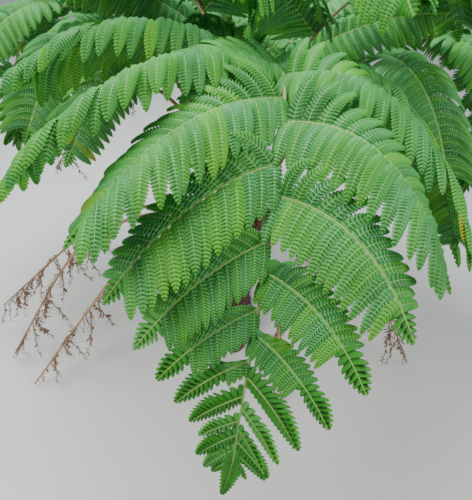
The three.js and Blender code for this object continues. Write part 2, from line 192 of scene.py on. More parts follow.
class PinnaLine:
    """Side 1 is the right hand of someone who faces the crown, -1 the left hand."""

    def __init__(self, frond, k, side, luck):
        self.place = place_along(k + (RIGHT_OFFSET if side > 0 else 0))
        u = (self.place - PLACE_START) / (1 - PLACE_START)
        hand = side * frond.hand
        point, way, across, above = frond.frame_at(self.place)
        natural = pinna_length(u)
        longer, wider, heavier = (frond.vary * (draw - 0.5) for draw in luck)
        self.length = natural * frond.size * (1 + LENGTH_VARIES * longer)
        angle = math.radians(series(PINNA_ANGLE, u) + hand * SIDE_SKEW + ANGLE_VARIES * wider)
        tilt = math.radians(series(TILT, u))
        out = -side * across * math.cos(tilt) + above * math.sin(tilt)
        first = way * math.cos(angle) + out * math.sin(angle)
        share = natural / PINNA
        droop = DROOP * share**DROOP_LENGTH * (1 + hand * DROOP_SKEW) * (1 + DROOP_VARIES * heavier)
        v = np.linspace(0, 1, PINNA_STEPS + 1)[:, None]
        bent = DOWN * droop * v**DROOP_ALONG + way * FORWARD * share**FORWARD_LENGTH * v
        self.ways = unit(first + bent)
        self.points = walk(point, self.length, self.ways)
        self.along, self.side = way, side
        self.turn = np.sign(np.cross(first, way) @ above)


frond_lines = [FrondLine(row) for row in FRONDS]
print("tips of the fronds:", [np.round(line.points[-1], 2).tolist() for line in frond_lines])

# %% [markdown]
# ## How far each pinna reaches
# Where two pinnae would cross, the solids make one of them narrower, then shorter, and at last leave
# it out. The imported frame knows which: the corners of a pinna's solid lie on its node's surface only
# for the reach and width that was kept, so each pair is tried against that surface.

# %% The solid's pinnules
PINNULE_SHARE, PINNULE_LEAST, PINNULE_LEAN = 0.225, 0.010, math.radians(76)
PINNULE_FOLD, PINNULE_DROOP = math.radians(10), 0.9
FOOT_SHARE, FOOT_GROWTH, PINNULE_TAPER = 0.55, 2.2, (1.7, 0.85)
REACHES, WIDTHS, ON_SURFACE = (1, 0.85, 0.7, 0.55, 0.4), (1, 0.8, 0.6, 0.45), 0.0008
# where along a pinna its corners are tried, for pinnae longer than so much
TRIED_AT = {0.29: (0.27, 0.52, 0.78), 0.15: (0.38, 0.72), 0.0: (0.12, 0.6)}


def plane_at(pinna, v):
    """A pinna's way, the direction square to it towards the frond's tip, and its upper side."""
    way = unit(between(pinna.ways, v))
    w = unit(pinna.along - way * np.sum(pinna.along * way, axis=-1, keepdims=True))
    return way, w, unit(np.cross(way, w)) * pinna.turn


def solid_corner(pinna, v, s, longest):
    """The corner of the pinna's solid at v, on the side of the frond's tip."""
    grown = min(1, FOOT_SHARE + FOOT_GROWTH * s)
    length = longest * grown * (1 - s ** PINNULE_TAPER[0]) ** PINNULE_TAPER[1]
    way, w, normal = plane_at(pinna, v)
    first = way * math.cos(PINNULE_LEAN) - normal * math.sin(PINNULE_FOLD)
    first = first + w * math.sin(PINNULE_LEAN) * math.cos(PINNULE_FOLD)
    ways = unit(first + DOWN * PINNULE_DROOP * np.linspace(0, 1, 7)[:, None])
    return between(pinna.points, v) + walk(np.zeros(3), length, ways)[-1]


def near(surface, point):
    return surface.find_nearest(Vector(point))[3] < ON_SURFACE


def kept_size(pinna, surface):
    """The reach and the width that the node's solid has for this pinna, or None."""
    for reach in REACHES:
        if not near(surface, between(pinna.points, reach)):
            continue
        stations = next(s for least, s in TRIED_AT.items() if pinna.length * reach > least)
        for width in WIDTHS:
            longest = max(pinna.length * reach * PINNULE_SHARE, PINNULE_LEAST) * width
            corners = [solid_corner(pinna, s * reach, s, longest) for s in stations]
            if sum(near(surface, corner) for corner in corners) > len(corners) / 2:
                return reach, width
    return None


# %% The pinnae that the frame holds
depsgraph = bpy.context.evaluated_depsgraph_get()
surfaces = {
    name: BVHTree.FromObject(node, depsgraph)
    for name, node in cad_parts.items()
    if name.endswith("blade")
}

pinnae = []
for number, line in enumerate(frond_lines, 1):
    luck = even_numbers(line.seed)
    for k in range(PAIRS):
        for side in (-1, 1):
            pinna = PinnaLine(line, k + FIRST_PLACE, side, [next(luck) for _ in range(3)])
            half = "inner" if pinna.place < line.split else "outer"
            pinna.node, pinna.frond = f"frond_{number}_{half}_blade", number
            size = kept_size(pinna, surfaces[pinna.node])
            if size:
                pinna.reach, pinna.width = size
                pinnae.append(pinna)
full = sum((pinna.reach, pinna.width) == (1, 1) for pinna in pinnae)
print(len(pinnae), "pinnae,", full, "of them at full size")

# %% [markdown]
# ## Finishes
# A leaf is glossy above and lets some light through, so its shader is a Principled one mixed with a
# little Translucent. The lobes of these leaves are small arched tiles. A painted shadow darkens the
# cut between them, and a painted bluish sheen, which stands for the sky's reflection, lightens the
# ridge of each. A UV map counts the lobes along each blade, so the finish finds every cut by itself.
# Tints that have a place are finishes of their own, dealt out leaf by leaf.
# The small class below lets maths between nodes be written like any other expression.

# %% Nodes and maths
class Wire:
    """A node's output socket that adds Math nodes when it is reckoned with."""

    def __init__(self, writer, socket):
        self.writer, self.socket = writer, socket

    def other(self, output):
        """Another output of the same node."""
        return Wire(self.writer, self.socket.node.outputs[output])

    def maths(self, operation, first, second):
        return self.writer.add("ShaderNodeMath", {"operation": operation}, {0: first, 1: second})

    def __add__(self, other):
        return self.maths("ADD", self, other)

    def __sub__(self, other):
        return self.maths("SUBTRACT", self, other)

    def __rsub__(self, other):
        return self.maths("SUBTRACT", other, self)

    def __mul__(self, other):
        return self.maths("MULTIPLY", self, other)

    __radd__, __rmul__ = __add__, __mul__


class NodeWriter:
    """Adds nodes of any type to a tree: settings first, then values and links."""

    def __init__(self, tree):
        self.tree = tree
        tree.nodes.clear()

    def add(self, kind, settings=None, inputs=None, output=0):
        node = self.tree.nodes.new(kind)
        for key, value in (settings or {}).items():
            setattr(node, key, value)
        for key, value in (inputs or {}).items():
            if isinstance(value, Wire):
                self.tree.links.new(value.socket, node.inputs[key])
            elif node.inputs[key].type == "RGBA":
                node.inputs[key].default_value = (*value, 1)
            else:
                node.inputs[key].default_value = value
        return Wire(self, node.outputs[output]) if len(node.outputs) else None


class Finish(NodeWriter):
    """A material written node by node."""

    def __init__(self, name):
        self.material = bpy.data.materials.new(name)
        self.material.use_nodes = True
        super().__init__(self.material.node_tree)

    def noise(self, scale, detail=2.0, stretch=(1.0, 1.0, 1.0)):
        """Noise in Object coordinates, which may be drawn out along the height."""
        place = self.add("ShaderNodeTexCoord", output="Object")
        place = self.add("ShaderNodeMapping", inputs={"Vector": place, "Scale": stretch})
        inputs = {"Vector": place, "Scale": scale, "Detail": detail}
        return self.add("ShaderNodeTexNoise", inputs=inputs)

    def along(self):
        """The attribute that runs from 0 at the foot of a blade or stalk to 1 at its tip."""
        return self.add("ShaderNodeAttribute", {"attribute_name": "along"}, output="Fac")

    def mixed(self, share, first, second):
        """A colour between two others."""
        inputs = {0: share, 6: first, 7: second}
        return self.add("ShaderNodeMix", {"data_type": "RGBA"}, inputs, output=2)

    def smooth(self, value, low, high):
        """From 0 to 1 as the value goes from low to high, without a kink at the ends."""
        inputs = {"Value": value, "From Min": low, "From Max": high}
        return self.add("ShaderNodeMapRange", {"interpolation_type": "SMOOTHSTEP"}, inputs)

    def bump(self, height, strength, distance):
        inputs = {"Height": height, "Strength": strength, "Distance": distance}
        return self.add("ShaderNodeBump", inputs=inputs)

    def body(self, tone, roughness, **others):
        """The Principled shader that every finish is built on."""
        inputs = {"Base Color": tone, "Roughness": roughness, **others}
        return self.add("ShaderNodeBsdfPrincipled", inputs=inputs)

    def close(self, surface):
        self.add("ShaderNodeOutputMaterial", inputs={"Surface": surface})
        return self.material


# %% Leaf finishes
LEAF_GLOW, LEAF_SHINE = 0.2, {"Specular IOR Level": 0.25}
# painted shadow that darkens the cuts between lobes, and painted bluish sheen for the sky's reflection
PAINTED_CUT_SHADE, PAINTED_SHEEN = (0.008, 0.060, 0.012), (0.112, 0.455, 0.170)


def leaf_finish(name, inner, outer, sheen_share=0.46, roughness=0.42):
    """A satin leaf, fresher towards its end, with painted shade in each cut and painted sheen on each
    lobe.
    """
    leaf = Finish(name)
    lobes = leaf.add("ShaderNodeUVMap", {"uv_map": "lobes"})
    count = leaf.add("ShaderNodeSeparateXYZ", inputs={0: lobes})
    patches, grain = leaf.noise(16.0), leaf.noise(300.0, 3.0)
    off_middle = leaf.add("ShaderNodeMath", {"operation": "FRACT"}, {0: count}) - 0.5
    arch = 1 - off_middle * off_middle * 4
    open_part = leaf.smooth(arch, 0.06, 0.62)
    # painted sheen: a pale bluish colour in patches on the middle of each lobe
    sheen_mask = leaf.smooth(arch, 0.55, 1.0) * leaf.smooth(patches + grain * 0.3, 0.35, 0.85)
    green = leaf.mixed(leaf.smooth(leaf.along() + (patches - 0.5) * 0.4, 0.3, 1.0), inner, outer)
    pale = leaf.mixed(sheen_mask * sheen_share, green, PAINTED_SHEEN)
    # the cuts take the painted shadow, the rest keeps its green and painted sheen
    tone = leaf.mixed(open_part * 0.94 + 0.06, PAINTED_CUT_SHADE, pale)
    relief = leaf.bump(arch + grain * 0.2, 0.75, 0.0018)
    body = leaf.body(tone, grain * 0.16 + roughness, Normal=relief, **LEAF_SHINE)
    through = leaf.add("ShaderNodeBsdfTranslucent", inputs={"Color": tone})
    mix = leaf.add("ShaderNodeMixShader", inputs={0: LEAF_GLOW, 1: body, 2: through})
    return leaf.close(mix)


# the name, the greens near the rachis and at the tip, and the painted sheen and roughness if they differ
leaf_finishes = {
    name.split("_")[0]: leaf_finish(name, *look) for name, *look in (
        ("deep_leaf_green", (0.036, 0.205, 0.030), (0.052, 0.290, 0.030)),
        ("cool_leaf_green", (0.042, 0.245, 0.046), (0.058, 0.310, 0.040), 0.6),
        ("leaf_green", (0.050, 0.265, 0.030), (0.068, 0.335, 0.028)),
        ("fresh_leaf_green", (0.062, 0.310, 0.028), (0.088, 0.390, 0.024), 0.36),
        ("young_leaf_green", (0.088, 0.370, 0.024), (0.130, 0.450, 0.022), 0.24),
        ("clear_leaf_green", (0.034, 0.235, 0.014), (0.048, 0.285, 0.014), 0.12),
        ("yellowing_leaf", (0.130, 0.360, 0.026), (0.460, 0.480, 0.030), 0.1),
        ("browned_leaf", (0.080, 0.280, 0.030), (0.170, 0.085, 0.030), 0.1, 0.5),
    )
}
TINTS = {name: number for number, name in enumerate(leaf_finishes)}
print("leaf finishes:", *TINTS)


# %% Stalk finishes
def stalk_finish(name, colour, other, roughness, stretch=(60.0, 60.0, 12.0)):
    """A stringy stalk: streaks of two colours, with a fine relief of the same streaks."""
    stalk = Finish(name)
    streaks, specks = stalk.noise(3.0, 4.0, stretch), stalk.noise(420.0)
    relief = stalk.bump(streaks * 0.5 + specks * 0.5, 0.4, 0.0012)
    tone = stalk.mixed(streaks, colour, other)
    return stalk.close(stalk.body(tone, specks * 0.2 + roughness, Normal=relief))


rib_finish = stalk_finish("pale_green_rib", (0.230, 0.380, 0.080), (0.320, 0.390, 0.110), 0.42)
midrib_finish = stalk_finish("pinnule_midrib", (0.190, 0.400, 0.110), (0.260, 0.450, 0.150), 0.42)
scale_finish = stalk_finish("chaffy_scale", (0.150, 0.080, 0.035), (0.260, 0.160, 0.080), 0.7)
dead_finish = stalk_finish("dead_stalk", (0.230, 0.120, 0.060), (0.420, 0.270, 0.160), 0.75)
shred_finish = stalk_finish("dead_shreds", (0.120, 0.055, 0.028), (0.260, 0.135, 0.070), 0.85)
bark_finish = stalk_finish(
    "fibrous_bark", (0.040, 0.024, 0.016), (0.125, 0.078, 0.048), 0.9, (45.0, 45.0, 6.0)
)
print("stalk and bark finishes made")

# %% [markdown]
# ## Making pieces
# Thousands of small leaves are fastest as one mesh made from arrays, so the helpers below take the
# corners and triangles of many shapes at once. One more says what a finished piece belongs to: it
# rides on the body and hides the solids that it replaces.

# %% Pieces from arrays
def piece(name, points, triangles, finishes, dealt=None):
    """A smooth mesh, with the number of each triangle's finish dealt out to it."""
    mesh = bpy.data.meshes.new(name)
    mesh.from_pydata(points, [], triangles, shade_flat=False)
    if dealt is not None:
        mesh.polygons.foreach_set("material_index", np.asarray(dealt, np.int32))
    for finish in finishes:
        mesh.materials.append(finish)
    return shown(name, mesh)


def put_by(made):
    """Takes an object out of the scene, where Geometry Nodes still find it."""
    bpy.context.scene.collection.objects.unlink(made)
    return made


def belongs(made, slot, *nodes):
    """The piece rides on the plant and hides the solids of the nodes it stands for. The slot is not
    used.
    """
    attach(made, "root")
    if nodes:
        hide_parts(*nodes)


def run_along(made, shares):
    """Writes each point's share of the way from foot to tip, which the finishes read."""
    along = made.data.attributes.new("along", "FLOAT", "POINT")
    along.data.foreach_set("value", np.asarray(shares, np.float32))


class Gathered:
    """Points and triangles of many shapes, joined into one mesh."""

    def __init__(self):
        self.points, self.triangles, self.dealt, self.marks, self.count = [], [], [], [], 0

    def take(self, points, triangles, finish=0, marks=None):
        """Adds shapes of the same triangles: points has a row of corners for each shape."""
        shapes, corners = points.shape[:2]
        if marks is not None:
            self.marks.append(np.tile(marks, (shapes, 1)))
        starts = self.count + corners * np.arange(shapes)
        self.triangles.append((starts[:, None, None] + triangles[None]).reshape(-1, 3))
        self.dealt.append(np.broadcast_to(finish, (shapes, len(triangles))).ravel())
        self.points.append(points.reshape(-1, 3))
        self.count += shapes * corners

    def piece(self, name, finishes):
        """Marks are the lobes along and across, kept as a UV map, and the share along."""
        points, triangles, dealt = map(np.concatenate, (self.points, self.triangles, self.dealt))
        made = piece(name, points, triangles, finishes, dealt)
        if self.marks:
            marks = np.concatenate(self.marks).astype(np.float32)
            lobes = made.data.uv_layers.new(name="lobes")
            lobes.uv.foreach_set("vector", marks[triangles.ravel(), :2].ravel())
            run_along(made, marks[:, 2])
        return made


def closed(rows, sides):
    """Triangles round rows of corners, closed by one more corner at the first and last row."""
    i = np.arange(sides)
    n = (i + 1) % sides
    row = sides * np.arange(rows - 1)[:, None]
    a, k = (row + i).ravel(), (row + n).ravel()
    low, top = 0 * i + rows * sides, sides * (rows - 1)
    wall = (a, a + sides, k), (k, a + sides, k + sides)
    caps = (n, low, i), (top + i, low + 1, top + n)
    return np.concatenate([np.stack(corners, 1) for corners in wall + caps])


def tube(points, across, above, radii, sides, groove=0.0):
    """Corners and triangles of a tapering round stalk with closed ends and a groove on top."""
    angles = 2 * np.pi * np.arange(sides) / sides
    dent = 1 - groove * np.exp(-((np.sin(angles) - 1) ** 2) / 0.08)
    circle = np.cos(angles)[:, None] * across[:, None] + np.sin(angles)[:, None] * above[:, None]
    rings = points[:, None] + circle * (radii[:, None] * dent)[..., None]
    corners = np.vstack([rings.reshape(-1, 3), points[:1], points[-1:]])
    return corners, closed(len(points), sides)


# %% [markdown]
# ## Pinnules
# The blade of a pinnule is cut into slanting lobes, each arched like a small roof tile, with its
# midrib sunk between them. One flat pattern is made for every number of lobes, as corners along,
# across and above the midrib. It is then bent along each pinnule's own curve, so that every pinnule
# hangs by its own weight. Towards the tip of a pinna the pinnules join into one lobed blade, and the
# smallest pinnae are such a blade from end to end, so the same patterns serve for those as well.

# %% The pattern of a lobed blade
# along and out for the corners of one lobe, in lobe pitches and shares of the way from cut to edge
BLUNT = ((-0.49, 0.28), (-0.46, 0.70), (-0.26, 0.98), (0.14, 1.0), (0.42, 0.80), (0.49, 0.28))
POINTED = ((-0.49, 0.05), (-0.43, 0.42), (-0.16, 0.86), (0.26, 1.0), (0.44, 0.50), (0.49, 0.05))
# the lobe at the very tip: along, out and above
END_LOBE = ((0.25, 0.8, -0.08), (0.7, 0.35, -0.08), (0.8, 0, -0.1), (0.3, 0.3, 0.06))
LOBE_LEAN, RIDGE, VALLEY, EDGE_DROP = 0.5, 0.24, -0.18, 0.06
# at the foot of a blade, over this part of its length, the lobes stand square and spread
FOOT_PART, FOOT_SPREAD, ARCH = 0.30, 0.25, 0.22


def fan(middle, edge, side, whole=True):
    """Triangles from a middle corner to a row or a whole ring, facing up on both sides."""
    pairs = zip(edge, edge[1:] + (edge[:1] if whole else []))
    return [(middle, a, b) if side > 0 else (middle, b, a) for a, b in pairs]


class Pattern:
    """A flat blade with pairs of lobes: corners along, across and above, and triangles."""

    def __init__(self, lobes, cut, relief, aspect, taper, foot, edge):
        self.pitch, self.slant = 1 / (lobes + 0.8), LOBE_LEAN * aspect
        self.taper, self.foot = taper, foot
        self.corners, self.marks, triangles = [], [], []
        for j in range(lobes + 1):
            self.corner(j, 0, 0, -EDGE_DROP)
        for side in (1, -1):
            first = len(self.corners)
            for j in range(lobes + 1):
                self.corner(j, 0, side * cut, VALLEY * relief)
            for j in range(lobes):
                low = len(self.corners)
                for x in (0.3, 0.74):
                    self.corner(j + 0.5, 0, side * x, RIDGE * relief * (1 - 0.6 * x))
                for aside, out in edge:
                    up = (VALLEY + 0.10 * out) * relief - EDGE_DROP * out
                    self.corner(j + 0.5, aside, side * (cut + (1 - cut) * out), up)
                near, far, last = low + 2, low + 1, low + 7
                inner = [j, first + j, near, far, last, first + j + 1, j + 1]
                triangles += fan(low, inner, side) + fan(far, [*range(near, last + 1)], side, False)
            tip = len(self.corners)
            for aside, x, up in END_LOBE:
                self.corner(lobes, aside, side * x, up)
            triangles += fan(tip + 3, [lobes, first + lobes, tip, tip + 1, tip + 2], side)
        self.corners, self.marks = np.array(self.corners), np.array(self.marks)
        self.triangles = np.array(triangles)

    def half(self, t):
        """Half the width at t of the length, as a share of the widest."""
        return min(1, self.foot + 0.8 * t) * (1 - min(t, 1) ** self.taper) ** 0.75

    def corner(self, lobe, aside, x, up):
        """A corner beside a place counted in lobes, at a share x of the half width there."""
        t = self.pitch * lobe
        across, grown = x * self.half(t), min(1, t / FOOT_PART)
        spread = aside * (1 + FOOT_SPREAD * (1 - grown))
        along = min(1, t + self.pitch * spread + self.slant * abs(across) * grown)
        self.corners.append((along, across, up - ARCH * across**2))
        self.marks.append((lobe + aside, across, along))


LOBE_COUNTS = np.arange(3, 22, 2)
# how far from the midrib the cuts end, the relief between lobes, the width next to the length, how
# late the blade tapers, how wide its foot is, and the edge of its lobes
KINDS = (
    (0.88, 0.5, 0.25, 2.4, 0.94, BLUNT),
    (0.76, 0.7, 0.20, 2.8, 0.94, BLUNT),
    (0.22, 1.0, 0.13, 3.2, 0.96, BLUNT),
    (0.50, 0.9, 0.16, 3.0, 0.96, BLUNT),
    (0.62, 0.7, 0.33, 1.9, 0.70, POINTED),
    (0.42, 0.6, 0.45, 1.2, 0.94, POINTED),
)
ENTIRE, TOOTHED, CUT, LOBED, CRENATE, TORN = range(len(KINDS))
patterns = {
    (lobes, kind): Pattern(lobes, *measures)
    for kind, measures in enumerate(KINDS)
    for lobes in LOBE_COUNTS.tolist()
}
most = max(len(pattern.triangles) for pattern in patterns.values())
print(len(patterns), "patterns, with up to", most, "triangles")

# %% [markdown]
# ## Ribbons
# A ribbon is a curve with a side and an upper direction at each step. Each pinnule is one, and so is
# the joined blade at the end of a pinna. A ribbon rarely leaves its rib at a right angle, so the
# first part of it is skewed until its foot lies along the rib and no gap shows beside it.

# %% Ribbons
BEND_STEPS = 8
# how far apart the lobes of each kind of blade are, in metres
LOBE_PITCHES = np.array([0.0046, 0.0046, 0.0060, 0.0060, 0.0095, 0.0100])
MIDRIB_PART, MIDRIB_STEPS, MIDRIB_TAPER = 0.94, 6, 0.65
# share of the width, and height, of the corners across a midrib
MIDRIB_PROFILE = ((-1, -0.06), (0, 0.02), (1, -0.06))


def seated(rib, side):
    """What a strip's first side lacks to lie along the rib that the strip leaves."""
    return rib / np.sum(rib * side, -1, keepdims=True) - side


class Ribbons:
    """Many curved strips, which the patterns and their midribs are laid on."""

    def __init__(self, points, side, up, length, half, handed, foot):
        self.points, self.side, self.up = points, side, up
        self.length, self.half, self.handed, self.foot = length, half, handed, foot

    def lay(self, gathered, chosen, corners, triangles, finish=0, marks=None):
        """Lays corners along, across and above on the chosen strips."""
        place = corners[:, 0] * BEND_STEPS
        before = np.minimum(place.astype(int), BEND_STEPS - 1)
        rest = (place - before)[None, :, None]
        rows = [rows[chosen] for rows in (self.points, self.side, self.up)]
        points, side, up = (row[:, before] * (1 - rest) + row[:, before + 1] * rest for row in rows)
        half = self.half[chosen][:, None, None]
        side = side + self.foot[chosen][:, None] * np.clip(1 - corners[:, :1] / FOOT_PART, 0, 1)
        laid = points + side * corners[:, 1:2] * half + up * corners[:, 2:] * half
        gathered.take(laid, triangles, finish, marks)

    def blades(self, gathered, kinds, tints):
        """Bends a pattern with the right number of lobes along every strip."""
        wanted = self.length / LOBE_PITCHES[kinds]
        lobes = LOBE_COUNTS[np.abs(wanted[:, None] - LOBE_COUNTS).argmin(-1)]
        for count, kind, hand in {*zip(lobes.tolist(), kinds.tolist(), self.handed.tolist())}:
            chosen = (lobes == count) & (kinds == kind) & (self.handed == hand)
            flat, dealt = patterns[count, kind], tints[chosen][:, None]
            self.lay(gathered, chosen, flat.corners, flat.triangles[:, :: int(hand)], dealt, flat.marks)

    def midribs(self, gathered, width):
        """A pale ridge along each midrib, thinner towards the tip."""
        t = np.linspace(0, MIDRIB_PART, MIDRIB_STEPS + 1)
        taper = width * (1 - MIDRIB_TAPER * t)
        ridge = [np.stack([t, x * taper, 0 * t + up], 1) for x, up in MIDRIB_PROFILE]
        i, row = np.arange(MIDRIB_STEPS), MIDRIB_STEPS + 1
        faces = [np.stack(corners, 1) for a, b in ((i + row, i), (i + 2 * row, i + row))
                 for corners in ((a, b, b + 1), (a, b + 1, a + 1))]
        for hand in (-1, 1):
            chosen = self.handed == hand
            if chosen.any():
                triangles = np.concatenate(faces)[:, ::hand]
                self.lay(gathered, chosen, np.concatenate(ridge), triangles)


# %% Hanging pinnules
# for the side of the frond's tip and for that of the crown: lean and fold in degrees, curl, weight,
# sickle bend, and how much more the pinnules of the one hand lean than those of the other
HABITS = {1: (81, -25, 0.19, 0.90, 0.22, 12), -1: (79, -4, 0.92, 0.32, 0.30, 5)}
# near the rachis the pinnules of the crown's side stand up: over what part of the pinna, by how many
# degrees, and how much less they curl there
UPRIGHT_PART, UPRIGHT_FOLD, UPRIGHT_CURL = 0.24, 34, 0.75
# how far chance changes the lean and the fold in degrees, the weight, the curl, the twist in degrees
LEAN_VARIES, FOLD_VARIES, WEIGHT_VARIES, CURL_VARIES, TWIST_VARIES = 5, 8, 0.3, 0.4, 10


def hanging(root, way, w, normal, edge, length, half, handed, skew, upright, chance):
    """Strips that leave a rib to both sides, and hang and curl by their own weight."""
    count = len(root)
    lean, fold, curl, weight, sickle, lean_skew = (
        np.where(edge > 0, high, low) for high, low in zip(HABITS[1], HABITS[-1])
    )
    luck = chance.random((4, count)) - 0.5
    angle = np.radians(lean + skew * lean_skew + LEAN_VARIES * luck[0])
    fold = np.radians(fold - UPRIGHT_FOLD * upright + FOLD_VARIES * luck[1])
    curl = curl * (1 - UPRIGHT_CURL * upright) * (1 + CURL_VARIES * luck[3])
    first = way * np.cos(angle)[:, None] - normal * np.sin(fold)[:, None]
    first = first + w * (edge * np.sin(angle) * np.cos(fold))[:, None]
    weight = weight * (1 + WEIGHT_VARIES * luck[2]) * (1 - first @ DOWN)
    t = np.linspace(0, 1, BEND_STEPS + 1)[None, :, None]
    pull = weight[:, None, None] * DOWN * t**0.7
    turned = curl[:, None, None] * normal[:, None] * t**1.3
    ways = unit(first[:, None] + pull - turned + sickle[:, None, None] * way[:, None] * t)
    steps = (ways[:, 1:] + ways[:, :-1]) * (length / BEND_STEPS / 2)[:, None, None]
    points = root[:, None] + np.concatenate([np.zeros((count, 1, 3)), np.cumsum(steps, 1)], 1)
    side = unit(way[:, None] - ways * np.sum(way[:, None] * ways, -1, keepdims=True))
    up = np.cross(ways, side) * handed[:, None, None]
    twist = np.radians(TWIST_VARIES * (chance.random(count) - 0.5))[:, None, None] * (0.4 + 0.6 * t)
    level = side * np.cos(twist) + up * np.sin(twist)
    raised = up * np.cos(twist) - side * np.sin(twist)
    return Ribbons(points, level, raised, length, half, handed, seated(way, side[:, 0]))


# %% [markdown]
# ## Growing the blades
# How long the pinnules of a pinna are, how far apart and how much of its end is one blade all follow
# from the pinna's length. Each pinnule gets its tint here: fresher green towards the tips, deeper
# near the rachis, and now and then a yellowed or browned one. The joined ends are a clear green.

# %% Measures of a pinna by its length
PINNA_LENGTHS = (0.08, 0.12, 0.14, 0.155, 0.18, 0.23, 0.26, 0.30, 0.34, 0.44, 0.60)
# the joined part, the longest pinnule, how far apart they stand, and half the width of the joined end
# next to the last pinnules
BY_LENGTH = (
    (1.0, 1.0, 1.0, 0.66, 0.40, 0.31, 0.24, 0.18, 0.14, 0.11, 0.09),
    (0.012, 0.018, 0.024, 0.034, 0.050, 0.063, 0.074, 0.092, 0.102, 0.121, 0.150),
    (0.008, 0.009, 0.0105, 0.0118, 0.0116, 0.0133, 0.0148, 0.0190, 0.0210, 0.0230, 0.0245),
    (1.0, 1.0, 1.0, 0.95, 0.60, 0.50, 0.46, 0.42, 0.38, 0.32, 0.26),
)
MOST_JOINED, DIVIDED_FROM, DIVIDED_LEAST, TOOTHED_FROM, TORN_FROM = 0.8, 0.28, 0.045, 0.165, 0.25
# how likely the older pinnules of each frond are to be fresh green
FRESHNESS, END_FRESHNESS = (0.25, 0.16, 0.06, 0.12, 0.20, 0.10, 0.35, 0.35), 0.25


def pinnule_share(v, length):
    """How long a pinnule at v is, next to the longest: short pinnae taper, long ones end bluntly."""
    blunt = np.interp(length, (0.2, 0.45), (1.8, 6.0))
    return np.minimum(1, 0.80 + 0.5 * v) * np.sqrt(1 - np.clip(v, 0, 0.999) ** blunt)


def tints_for(freshness, v, chance):
    """The finish of each pinnule at v of its rib."""
    drawn = chance.random(len(v))
    fresh = np.clip(freshness + 0.6 * v**3, 0, 0.9)
    chosen = {"browned": drawn > 0.9993, "yellowing": drawn > 0.995, "young": drawn < 0.25 * fresh,
              "fresh": drawn < fresh, "leaf": drawn < 0.62, "cool": drawn < 0.86}
    return np.select([*chosen.values()], [TINTS[name] for name in chosen], TINTS["deep"])


# %% Blades of one pinna
# where the first pinnules stand, how they crowd to the tip, and how far the crown's side lags
ROOT_START, ROOT_CROWDING, ROOT_LAG = 0.45, 1.08, 0.25
# the crown side's length, half the width next to the gap and at most next to the length, and the same
# for a pinna that is all one blade
CROWN_PART, PINNULE_HALF, WIDEST_HALF, BLADE_HALF = 0.72, 0.62, 0.42, 0.24
SHARE_VARIES, END_LAP, PINNULE_RIB, END_RIB = 0.07, 0.3, 0.06, 0.05


def lone_blade(points, side, up, length, half, hand, foot, kind, rib, gathered, ribs, chance):
    """A joined blade on a strip of its own, and its midrib."""
    strip = Ribbons(points[None], side[None], up[None], *map(np.array, ([length], [half], [hand])), foot)
    tint = TINTS["fresh" if chance.random() < END_FRESHNESS else "clear"]
    strip.blades(gathered, np.array([kind]), np.array([tint]))
    strip.midribs(ribs, rib)


def end_blade(pinna, start, half, kind, *kept):
    """The joined blade from a share of the pinna's length to its tip."""
    v = np.linspace(start, pinna.reach, BEND_STEPS + 1)
    _, w, normal = plane_at(pinna, v)
    foot = seated(pinna.along, w[:1]) if start == 0 else np.zeros((1, 3))
    points, length = between(pinna.points, v), pinna.length * (pinna.reach - start)
    lone_blade(points, w, normal, length, half, pinna.turn, foot, kind, END_RIB, *kept)


def grow_pinna(pinna, gathered, ribs, chance):
    """The pinnules to both sides of a pinna, and the joined blade at its end."""
    length = pinna.length * pinna.reach
    joined, longest, pitch, end_half = (
        float(np.interp(length, PINNA_LENGTHS, row)) for row in BY_LENGTH
    )
    if joined > MOST_JOINED:
        half = BLADE_HALF * length * pinna.width**0.5
        return end_blade(pinna, 0.0, half, CRENATE, gathered, ribs, chance)
    longest, span = longest * pinna.width, 1 - joined
    count = max(3, round(length * span / pitch))
    v = span * (1 - (1 - (np.arange(count) + ROOT_START) / count) ** ROOT_CROWDING)
    v = np.concatenate([v, v + ROOT_LAG * span / count])
    edge = np.repeat([1.0, -1.0], count)
    share = pinnule_share(v, length) * (1 + SHARE_VARIES * (chance.random(2 * count) - 0.5))
    upright = np.where(edge > 0, 0, np.exp(-((v / UPRIGHT_PART) ** 2)))
    long = longest * share * np.where(edge > 0, 1, CROWN_PART + (1 - CROWN_PART) * upright)
    apart = np.abs(np.gradient(v[:count])) * length
    half = np.minimum(np.tile(apart, 2) * PINNULE_HALF, long * WIDEST_HALF)
    root = between(pinna.points, v * pinna.reach)
    handed, skew = -pinna.turn * edge, pinna.side * frond_lines[pinna.frond - 1].hand
    grown = hanging(root, *plane_at(pinna, v * pinna.reach), edge, long, half, handed, skew, upright,
                    chance)
    kinds = np.select([long * (length > DIVIDED_FROM) > DIVIDED_LEAST, length > TOOTHED_FROM],
                      [np.where(edge > 0, CUT, LOBED), TOOTHED], ENTIRE)
    grown.blades(gathered, kinds, tints_for(FRESHNESS[pinna.frond - 1], v, chance))
    grown.midribs(ribs, PINNULE_RIB)
    half = min(end_half * longest * pinnule_share(span, length), 0.5 * length * joined)
    start = pinna.reach * (span - END_LAP * joined / BEND_STEPS)
    kind = TORN if length > TORN_FROM else CRENATE
    end_blade(pinna, start, half, kind, gathered, ribs, chance)


# %% All the blades
def settle(name, leaves, ribs, *nodes):
    """Makes the two pieces of a part of a frond: its leaves and their midribs."""
    belongs(leaves.piece(name + "_leaves", [*leaf_finishes.values()]), "leaf", *nodes)
    belongs(ribs.piece(name + "_midribs", [midrib_finish]), "leaf", *nodes)
    print(name, leaves.count, "corners of leaves")


blades = {}
for pinna in pinnae:
    chance = np.random.default_rng(100 * pinna.frond + int(1000 * pinna.place))
    grow_pinna(pinna, *blades.setdefault(pinna.node, (Gathered(), Gathered())), chance)
for node, kept in blades.items():
    settle(node.removesuffix("_blade"), *kept, node)

# %% [markdown]
# ## Ribs that follow curves
# Every pinna has a costa, the yellow-green rib that carries its pinnules, thick at the rachis and
# hair-thin at its tip. Curve to Mesh sweeps one small ring along all of them at once, so the ribs are
# drawn as curves with a radius at each point and a Geometry Nodes group gives them their body.

